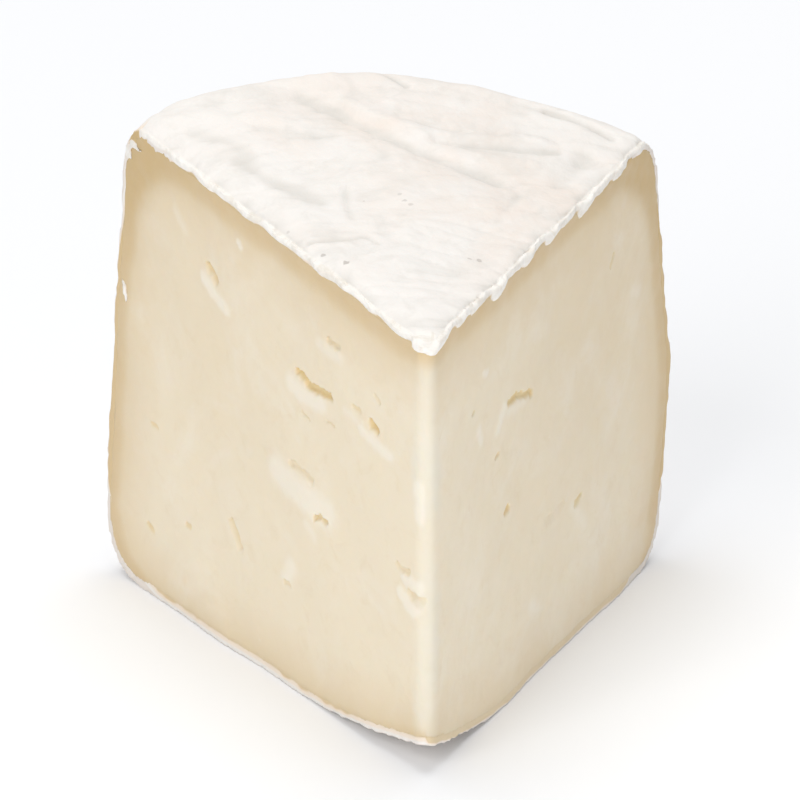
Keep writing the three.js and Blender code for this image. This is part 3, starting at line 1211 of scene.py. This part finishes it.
    def _ruffle(self, piece: bpy.types.Object) -> None:
        """Gives the rind its relief, and notes what the shaders need.

        Args:
            piece: The piece.
        """
        form, places = self.form, self.clay.places(piece.data)
        normals = self.clay.normals(piece.data)
        depth = form.depth(places)
        on_top = smooth_step(0.4, 0.8, normals[:, 2])
        height = self._relief(places, on_top)
        shown = smooth_step(0.75, 0.3, depth) * smooth_step(0.0, 1.5, places[:, 2])
        torn, scraped = self._torn(places), self._scraped(places)
        moved = places + normals * (height * shown)[:, None]
        for cut in Cut:
            near = smooth_step(0.9, 0.3, -form.facing(places, cut))
            edge = 0.04 - 0.09 * smooth_step(1.15, 1.6, depth)
            wave = (form.cut_wave(form.run(places, cut), places[:, 2], cut) + edge) * near
            moved = moved + np.outer(wave, np.array(form.outward(cut)))
        moved = moved + normals * (self._fibres(places) * smooth_step(0.0, 0.5, torn))[:, None]
        moved[:, 2] = np.maximum(moved[:, 2], 0.0)
        self.clay.move(piece.data, moved)
        self.clay.note_band(piece.data, places)
        self.clay.note(
            piece.data,
            rind_depth=depth + 4.0 * scraped,
            torn=torn * (1 - scraped),
            # hollow steers painted shade in the finish: grey where the relief sinks.
            hollow=-height,
            # side steers a pinkish-grey tint in the finish, partly painted shade.
            skin=self._skin(places),
            side=1 - on_top,
            from_middle=form.radius(places - np.array((*self.pinkish_middle, 0))),
        )

    def _relief(self, places: Array, on_top: Array) -> Array:
        """Height of the bloom, the wrinkles, the folds and the rolled edge.

        Args:
            places: Places on the rind.
            on_top: How far they face upwards, from 0 to 1.

        Returns:
            The heights, outwards.
        """
        height = sum(ripple.at(places) for ripple in self.bloom)
        wrinkle = 1 - np.abs(self.wrinkle.at(places * np.array((0.5, 1.3, 0.8))))
        height = height - self.wrinkle_depth * wrinkle**6
        for fold in self.folds:
            away = distance_to_route(places[:, 0], places[:, 1], fold.route)
            height = height - fold.depth * bell(away, fold.width) * on_top
        for row in self.tuft_rows:
            inward = -self.form.facing(places, row.cut)
            lobes = self.lobe.at(np.column_stack((self.form.radius(places), 40 + 0 * inward, inward)))
            height = height + lobes * smooth_step(3.4, 0.4, inward) * on_top
            share = np.clip(1 - inward / row.roll_width, 0, 1)
            height = height - row.roll * share**2 * on_top
        return height

    def _torn(self, places: Array) -> Array:
        """Where the rind is torn: along the upper cut edges and at the point, from 0 to 1.

        Args:
            places: The places, one row each.

        Returns:
            The shares.
        """
        radius, below = self.form.radius(places), self.form.below_top(places)
        border = 0.75 + self.border.over(radius, 70 + 0 * radius)
        torn = smooth_step(4.2, 3.0, radius) * smooth_step(2.6, 1.9, below)
        for row in self.tuft_rows:
            inward = -self.form.facing(places, row.cut)
            edge = smooth_step(0.4, 0.15, inward) * smooth_step(border + 0.25, border, below)
            torn = np.maximum(torn, np.maximum(edge, smooth_step(-0.02, -0.16, inward)))
        return torn

    def _scraped(self, places: Array) -> Array:
        """Where the knife scraped the rind off the left cut's outer corner, from 0 to 1.

        Args:
            places: The places, one row each.

        Returns:
            The shares.
        """
        radius, inward = self.form.radius(places), -self.form.facing(places, Cut.LEFT)
        ragged = inward + self.scrape.at(places)
        near = smooth_step(2.6, 1.6, ragged) * smooth_step(-0.3, -0.1, inward)
        span = smooth_step(65.2, 66.2, radius) * smooth_step(69.4, 68.6, radius)
        return near * span * smooth_step(60.4, 61.6, places[:, 2])

    def _skin(self, places: Array) -> Array:
        """How deep the pale skin goes on the cuts.

        Args:
            places: The places, one row each.

        Returns:
            The depths.
        """
        left, up = places[:, 0] < 0, places[:, 2]
        foot = smooth_step(16.0, 6.0, up)
        side = np.where(left, 0.35 + 2.0 * bell(up - 57, 5.5) + 1.0 * foot, 0.3 + 0.15 * foot)
        edge = smooth_step(2.6, 1.2, self.form.below_top(places))
        upper = np.where(left, 1.0, 0.8)
        waves = sum(ripple.at(places) for ripple in self.skin_waves)
        return np.clip((side + (upper - side) * edge) * (1 + 0.65 * waves), 0.1, 1.3)

    def _fibres(self, places: Array) -> Array:
        """Height of the torn fibres on the tufts.

        Args:
            places: Places on the tufts.

        Returns:
            The heights, outwards.
        """
        along = self.form.radius(places)
        cos, sin = math.cos(self.fibre_fall), math.sin(self.fibre_fall)
        run = (along * cos + places[:, 2] * sin) / self.fibre_length
        across = (-along * sin + places[:, 2] * cos) / self.fibre_width
        return self.fibre.over(run, across, np.sign(places[:, 0]) * 20)


class Bench:
    """A material's node tree, with short ways to add nodes and join them."""

    def __init__(self, tree: bpy.types.NodeTree) -> None:
        """Keeps the tree that nodes are added to."""
        self.tree = tree

    def add(self, kind: str, **inputs: object) -> bpy.types.Node:
        """Adds a node.

        Args:
            kind: The node's type.
            **inputs: Values or sockets for its inputs, by name with _ for a space.

        Returns:
            The node.
        """
        node = self.tree.nodes.new(kind)
        self.feed_all(node, **inputs)
        return node

    def feed_all(self, node: bpy.types.Node, **inputs: object) -> None:
        """Feeds several inputs of a node, by name with _ for a space."""
        for name, value in inputs.items():
            self.feed(node, name.replace("_", " "), value)

    def feed(self, node: bpy.types.Node, name: str | int, value: object) -> None:
        """Sets an input of a node, or joins a socket to it.

        Args:
            node: The node.
            name: Its name.
            value: The value or socket.
        """
        if isinstance(value, bpy.types.NodeSocket):
            self.tree.links.new(value, node.inputs[name])
        else:
            node.inputs[name].default_value = value

    def math(self, operation: str, first: object, second: object = 0.0) -> bpy.types.NodeSocket:
        """One sum of two values.

        Args:
            operation: The kind of sum.
            first: The first one.
            second: The second one.

        Returns:
            The result.
        """
        node = self.tree.nodes.new("ShaderNodeMath")
        node.operation = operation
        self.feed(node, 0, first)
        self.feed(node, 1, second)
        return node.outputs[0]

    def times(self, first: object, second: object) -> bpy.types.NodeSocket:
        """One value times another."""
        return self.math("MULTIPLY", first, second)

    def tint(
        self, colour: object, mask: object, strength: float, other: object
    ) -> bpy.types.NodeSocket:
        """A colour that turns to another one, by ``strength`` at most, where a mask is full."""
        return self.mix(self.times(mask, strength), colour, other)

    def rise(self, value: object, low: float, high: float) -> bpy.types.NodeSocket:
        """A value that goes smoothly from 0 at ``low`` to 1 at ``high``.

        Args:
            value: The value or socket.
            low: Where it starts to rise.
            high: Where it is full.

        Returns:
            The value.
        """
        node = self.add("ShaderNodeMapRange", Value=value, From_Min=low, From_Max=high)
        node.interpolation_type = "SMOOTHSTEP"
        return node.outputs["Result"]

    def mix(self, share: object, first: object, second: object) -> bpy.types.NodeSocket:
        """A colour between two colours.

        Args:
            share: How near the second one it is, from 0 to 1.
            first: The first one.
            second: The second one.

        Returns:
            The colour.
        """
        node = self.tree.nodes.new("ShaderNodeMix")
        node.data_type = "RGBA"
        self.feed(node, 0, share)
        self.feed(node, 6, first)
        self.feed(node, 7, second)
        return node.outputs[2]

    def attribute(self, name: str) -> bpy.types.NodeSocket:
        """A number that the mesh keeps for each vertex.

        Args:
            name: Its name.

        Returns:
            The number.
        """
        node = self.tree.nodes.new("ShaderNodeAttribute")
        node.attribute_name = name
        return node.outputs["Fac"]

    def noise(self, place: object, per_metre: float, detail: float) -> bpy.types.NodeSocket:
        """Soft noise from 0 to 1, with ``per_metre`` lumps to a metre and finer layers."""
        node = self.add("ShaderNodeTexNoise", Vector=place, Scale=per_metre, Detail=detail)
        return node.outputs["Fac"]

    def effect(self, group: bpy.types.NodeTree, **inputs: object) -> bpy.types.NodeSocket:
        """Adds a shared effect.

        Args:
            group: Its node group.
            **inputs: Values or sockets for its inputs, by name with _ for a space.

        Returns:
            Its mask.
        """
        node = self.tree.nodes.new("ShaderNodeGroup")
        node.node_tree = group
        self.feed_all(node, **inputs)
        return node.outputs["Mask"]

    def ramp(self, share: object, stops: tuple[tuple[float, Colour], ...]) -> bpy.types.NodeSocket:
        """A colour looked up along a row of stops.

        Args:
            share: Where to look, from 0 to 1.
            stops: Positions and colours.

        Returns:
            The colour.
        """
        node = self.tree.nodes.new("ShaderNodeValToRGB")
        self.feed(node, 0, share)
        elements = node.color_ramp.elements
        for index, (position, colour) in enumerate(stops):
            element = elements[index] if index < 2 else elements.new(position)
            element.position = position
            element.color = colour
        return node.outputs["Color"]


def new_effect(name: str, **inputs: str) -> tuple[Bench, bpy.types.Node, bpy.types.Node]:
    """Starts the node group of an effect that puts out a mask.

    Args:
        name: The group's name.
        **inputs: What each of its inputs holds, by name with _ for a space.

    Returns:
        Its bench, the node that gives its inputs and the node that takes its mask.
    """
    group = bpy.data.node_groups.new(name, "ShaderNodeTree")
    for label, kind in inputs.items():
        socket = f"NodeSocket{kind}"
        group.interface.new_socket(label.replace("_", " "), in_out="INPUT", socket_type=socket)
    group.interface.new_socket("Mask", in_out="OUTPUT", socket_type="NodeSocketFloat")
    given = group.nodes.new("NodeGroupInput")
    return Bench(group), given, group.nodes.new("NodeGroupOutput")


@cache
def mottle_group() -> bpy.types.NodeTree:
    """The shared effect of soft patches with uneven edges.

    Returns:
        A group that turns coordinates and a patch size into a mask from 0 to 1.
    """
    bench, given, found = new_effect(
        "mottle", Place="Vector", Per_metre="Float", Low="Float", High="Float"
    )
    lumps = bench.add(
        "ShaderNodeTexNoise",
        Vector=given.outputs["Place"],
        Scale=given.outputs["Per metre"],
        Detail=5.0,
        Roughness=0.62,
        Distortion=0.6,
    )
    mask = bench.rise(lumps.outputs["Fac"], given.outputs["Low"], given.outputs["High"])
    bench.feed(found, "Mask", mask)
    return bench.tree


@cache
def spot_group() -> bpy.types.NodeTree:
    """The shared effect of one small spot with a soft uneven edge.

    Returns:
        A group that turns coordinates, a centre and a radius into a mask from 0 to 1.
    """
    bench, given, found = new_effect("spot", Place="Vector", Centre="Vector", Radius="Float")
    shake = bench.add("ShaderNodeTexNoise", Vector=given.outputs["Place"], Scale=1300.0)
    away = bench.tree.nodes.new("ShaderNodeVectorMath")
    away.operation = "DISTANCE"
    bench.feed(away, 0, given.outputs["Place"])
    bench.feed(away, 1, given.outputs["Centre"])
    share = bench.math("DIVIDE", away.outputs["Value"], given.outputs["Radius"])
    shift = bench.times(bench.math("SUBTRACT", shake.outputs["Fac"], 0.5), 2.2)
    bench.feed(found, "Mask", bench.rise(bench.math("ADD", share, shift), 1.1, 0.5))
    return bench.tree


@dataclass(frozen=True)
class Finish:
    """What the finishes share."""

    ivory: Colour = paint(236, 223, 198)
    pale_ivory: Colour = paint(232, 216, 188)
    cream: Colour = paint(226, 208, 176)
    tan: Colour = paint(219, 197, 159)
    ochre: Colour = paint(216, 192, 152)
    deep_ochre: Colour = paint(200, 172, 122)

    def start(self, name: str) -> tuple[bpy.types.Material, Bench, bpy.types.Node]:
        """Makes a plain material.

        Args:
            name: The material's name.

        Returns:
            The material, its node bench and its shader.
        """
        material = bpy.data.materials.new(name)
        material.use_nodes = True
        shader = material.node_tree.nodes["Principled BSDF"]
        return material, Bench(material.node_tree), shader

    def inside(
        self, bench: Bench, place: object
    ) -> tuple[bpy.types.NodeSocket, bpy.types.NodeSocket]:
        """The paste's colour, which turns ochre towards the rind and takes painted shade higher up and
        far from the point.

        Args:
            bench: The node bench.
            place: The coordinates that it follows.

        Returns:
            The colour, and how far under the rind it counts as.
        """
        drift = bench.math("SUBTRACT", bench.noise(place, 160, 3), 0.5)
        depth = bench.math("ADD", bench.attribute("band_depth"), bench.times(drift, 1.6))
        colour = bench.ramp(
            bench.math("DIVIDE", depth, FORM.depth_reach),
            (
                (0.0, self.ochre),
                (1.0, self.ivory),
                (0.18, self.ochre),
                (0.25, self.tan),
                (0.34, self.cream),
                (0.55, self.pale_ivory),
                (0.9, self.ivory),
            ),
        )
        # Painted shade: away from the rind the paste turns towards cream where warm is full.
        warm = bench.times(bench.attribute("warm"), bench.rise(depth, 3.0, 7.0))
        colour = bench.mix(warm, colour, self.cream)
        corner = bench.times(bench.attribute("corner"), bench.rise(depth, 7.0, 2.0))
        return bench.tint(colour, corner, 0.68, self.deep_ochre), depth

    @staticmethod
    def mottle(
        bench: Bench, place: object, per_metre: float, low: float, high: float
    ) -> bpy.types.NodeSocket:
        """The mask of soft patches, which start at noise ``low`` and are full at ``high``."""
        return bench.effect(mottle_group(), Place=place, Per_metre=per_metre, Low=low, High=high)

    @staticmethod
    def spot(
        bench: Bench, place: object, centre: Vector, radius: float
    ) -> bpy.types.NodeSocket:
        """The mask of one small spot, with its centre in millimetres from the point."""
        moved = (centre - Vector((0, FORM.origin_from_point, 0))) * MM
        return bench.effect(spot_group(), Place=place, Centre=moved, Radius=radius * MM)


@dataclass(frozen=True)
class PasteFinish(Finish):
    """Ivory paste that turns ochre under the rind, satin and a little translucent."""

    chalk: Colour = paint(243, 236, 222)
    whey: Colour = paint(228, 226, 214)
    gold: Colour = paint(229, 204, 149)

    def build(self) -> bpy.types.Material:
        """Makes the material.

        Returns:
            The result, finished.
        """
        material, bench, shader = self.start("cheese paste")
        place = bench.tree.nodes.new("ShaderNodeTexCoord").outputs["Object"]
        colour, depth = self.inside(bench, place)
        inner = bench.rise(depth, 3.0, 8.0)
        for patches, strength, other in (
            (self.mottle(bench, place, 70, 0.45, 0.75), 0.35, self.chalk),
            (self.mottle(bench, place, 700, 0.68, 0.78), 0.35, self.chalk),
            (self.mottle(bench, place, 330, 0.5, 0.8), 0.4, self.cream),
        ):
            colour = bench.tint(colour, bench.times(patches, inner), strength, other)
        uneven = bench.times(bench.math("SUBTRACT", bench.noise(place, 110, 3), 0.5), 5.0)
        edge = bench.rise(bench.math("ADD", bench.attribute("from_point"), uneven), 4.2, 1.2)
        below = bench.rise(depth, 2.0, 6.0)
        colour = bench.tint(colour, bench.times(edge, below), 0.5, self.whey)
        colour = bench.tint(colour, bench.rise(bench.attribute("pale"), 0.0, 0.8), 0.6, self.chalk)
        pit = bench.rise(bench.attribute("eye_pit"), 0.0, 0.7)
        colour = bench.tint(colour, pit, 0.85, self.gold)
        satin, grain = bench.noise(place, 300, 4), bench.noise(place, 1400, 4)
        bump = bench.add("ShaderNodeBump", Strength=0.2, Distance=0.0002, Height=grain)
        bench.feed_all(
            shader,
            Base_Color=colour,
            Roughness=bench.rise(satin, -0.6, 1.6),
            Normal=bump.outputs["Normal"],
            Subsurface_Weight=0.25,
            Subsurface_Radius=(1.0, 0.7, 0.4),
            Subsurface_Scale=0.001,
            Specular_IOR_Level=0.35,
        )
        return material


@dataclass(frozen=True)
class Pore:
    """A small dark pore in the top rind.

    Attributes:
        x: Its place across the wedge.
        y: Its distance from the point, along the middle.
        radius: Its radius.
        strength: How dark it is, from 0 to 1.
    """

    x: float
    y: float
    radius: float
    strength: float


PORES = (
    Pore(-11.4, 22.5, 0.4, 0.36),
    Pore(-8.7, 19.9, 0.45, 0.42),
    Pore(-0.7, 36.5, 0.35, 0.18),
    Pore(-0.3, 34.8, 0.35, 0.25),
    Pore(0.5, 33.9, 0.35, 0.22),
    Pore(-5.3, 35.5, 0.3, 0.25),
    Pore(3.5, 42.8, 0.25, 0.35),
    Pore(7, 22.8, 0.3, 0.25),
    Pore(8.2, 22.6, 0.35, 0.3),
    Pore(-15.6, 29, 0.4, 0.2),
)


@dataclass(frozen=True)
class RindFinish(Finish):
    """White felted mould over a greyish pink skin, with painted shade in the hollows and on the sides.
    """

    bloom: Colour = paint(241, 237, 232)
    grey: Colour = paint(219, 215, 208)
    pink: Colour = paint(238, 227, 217)
    dust: Colour = paint(245, 241, 235)
    shadow: Colour = paint(223, 215, 202)
    skin: Colour = paint(240, 226, 210)
    # Pinkish grey for the sides: partly the side rind's own colour, partly painted shade where the
    # sides get less light from above.
    side: Colour = paint(226, 214, 203)
    pore: Colour = paint(120, 108, 98)

    def build(self) -> bpy.types.Material:
        """Makes the material.

        Returns:
            The result, finished.
        """
        material, bench, shader = self.start("bloomy rind")
        place = bench.tree.nodes.new("ShaderNodeTexCoord").outputs["Object"]
        pinkish = self.mottle(bench, place, 45, 0.37, 0.67)
        middle = bench.rise(bench.attribute("from_middle"), 36.0, 14.0)
        share = bench.times(bench.math("ADD", middle, 0.25), 0.65)
        colour = bench.mix(bench.times(pinkish, share), self.bloom, self.pink)
        for per_metre, strength in ((110, 0.4), (280, 0.3)):
            greyish = self.mottle(bench, place, per_metre, 0.5, 0.72)
            colour = bench.tint(colour, greyish, strength, self.grey)
        # Partly own colour, partly painted shade: rind that faces sideways instead of up is tinted
        # pinkish grey.
        colour = bench.tint(colour, bench.attribute("side"), 0.5, self.side)
        # Painted shade: the rind turns grey where its relief sinks, in folds and wrinkles.
        hollow = bench.rise(bench.attribute("hollow"), 0.05, 0.6)
        colour = bench.tint(colour, hollow, 0.8, self.grey)
        for pore in PORES:
            up = float(FORM.top(np.array(pore.x), np.array(pore.y)))
            mask = self.spot(bench, place, Vector((pore.x, pore.y, up)), pore.radius)
            colour = bench.tint(colour, mask, pore.strength, self.pore)
        depth, torn = bench.attribute("rind_depth"), bench.attribute("torn")
        share = bench.math("DIVIDE", depth, bench.attribute("skin"))
        skin = bench.mix(bench.rise(share, 0.35, 0.8), self.bloom, self.skin)
        cut = bench.mix(bench.rise(share, 0.85, 1.2), skin, self.inside(bench, place)[0])
        bare = bench.times(bench.rise(depth, 0.1, 0.3), bench.math("SUBTRACT", 1.0, torn))
        colour = bench.mix(bare, colour, cut)
        shade = self.mottle(bench, place, 520, 0.42, 0.66)
        colour = bench.mix(torn, colour, bench.tint(self.dust, shade, 0.55, self.shadow))
        felt = bench.noise(place, 900, 6)
        bump = bench.add("ShaderNodeBump", Strength=0.45, Distance=0.0003, Height=felt)
        bench.feed_all(
            shader,
            Base_Color=colour,
            Roughness=bench.rise(felt, -1.2, 1.0),
            Normal=bump.outputs["Normal"],
            Subsurface_Weight=0.1,
            Subsurface_Radius=(1.0, 0.8, 0.7),
            Subsurface_Scale=0.0008,
            Specular_IOR_Level=0.2,
        )
        return material


@dataclass(frozen=True)
class Lamp:
    """A soft square light that faces the cheese.

    Attributes:
        name: Its name.
        place: Where it hangs, in metres.
        size: Its side in metres.
        power: Its power in watts.
    """

    name: str
    place: tuple[float, float, float]
    size: float
    power: float


LAMPS = (
    Lamp("key light", (-0.75, -1.05, 1.0), 0.9, 7.9),
    Lamp("fill light", (0.06, -0.27, 0.03), 0.14, 0.17),
    Lamp("top light", (0.0, 0.25, 1.5), 1.2, 12.2),
)


@dataclass(frozen=True)
class Studio:
    """The pale floor, the soft lights and the camera.

    Attributes:
        turn: Degrees that the camera stands to the left of the point's side.
        elevation: Degrees above the level.
        distance: Metres from the camera to what it looks at.
        target: What it looks at, in metres.
        focal: Focal length in pixels of a picture ``picture_width`` pixels wide.
        picture_width: Width of that picture.
        floor_size: The floor's side in metres.
        floor_colour: Its colour.
        floor_roughness: Its roughness.
        lamps: The soft lights.
        glow: How strong the light from all round is.
    """

    turn: float = -4.4
    elevation: float = 24.55
    distance: float = 1.5
    target: tuple[float, float, float] = (-0.0004, 0.002, 0.0341)
    focal: float = 11807.0
    picture_width: int = 800
    floor_size: float = 30.0
    floor_colour: Colour = paint(249, 250, 252)
    floor_roughness: float = 0.9
    lamps: tuple[Lamp, ...] = LAMPS
    glow: float = 0.45

    def build(self) -> None:
        """Sets up the whole studio."""
        self._camera()
        self._floor()
        self._world()
        for lamp in self.lamps:
            self._hang(lamp)
        bpy.context.scene.view_settings.view_transform = "Standard"

    def _camera(self) -> None:
        """Places the camera at the photograph's viewing angle."""
        data = bpy.data.cameras.new("camera")
        data.lens = self.focal * data.sensor_width / self.picture_width
        data.clip_end = 50
        camera = bpy.data.objects.new("camera", data)
        turn, rise = math.radians(self.turn), math.radians(self.elevation)
        back = Vector(
            (math.sin(turn) * math.cos(rise), -math.cos(turn) * math.cos(rise), math.sin(rise))
        )
        camera.location = Vector(self.target) + back * self.distance
        camera.rotation_euler = back.to_track_quat("Z", "Y").to_euler()
        bpy.context.scene.collection.objects.link(camera)
        bpy.context.scene.camera = camera

    def _floor(self) -> None:
        """Lays the plain pale floor."""
        mesh = bmesh.new()
        bmesh.ops.create_grid(mesh, x_segments=1, y_segments=1, size=self.floor_size / 2)
        floor = Clay.piece(mesh, "floor")
        material, bench, shader = Finish().start("floor")
        bench.feed_all(shader, Base_Color=self.floor_colour, Roughness=self.floor_roughness)
        floor.data.materials.append(material)

    def _world(self) -> None:
        """Lights everything a little from all round."""
        world = bpy.data.worlds.new("studio")
        world.use_nodes = True
        shade = world.node_tree.nodes["Background"]
        Bench(world.node_tree).feed_all(shade, Color=(1, 1, 1, 1), Strength=self.glow)
        bpy.context.scene.world = world

    def _hang(self, lamp: Lamp) -> None:
        """Hangs a light so that it faces what the camera looks at.

        Args:
            lamp: The light.
        """
        data = bpy.data.lights.new(lamp.name, "AREA")
        data.size = lamp.size
        data.energy = lamp.power
        light = bpy.data.objects.new(lamp.name, data)
        light.location = lamp.place
        towards = Vector(self.target) - Vector(lamp.place)
        light.rotation_euler = towards.to_track_quat("-Z", "Y").to_euler()
        bpy.context.scene.collection.objects.link(light)


def main() -> None:
    """Builds the studio and both pieces of the cheese."""
    logging.basicConfig(level=logging.INFO, format="%(name)s: %(message)s")
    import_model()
    Studio().build()
    paste = Paste().build(PasteFinish().build())
    log.info("built %s", paste.name)
    rind = Rind().build(RindFinish().build())
    log.info("built %s", rind.name)


if __name__ == "__main__":
    main()
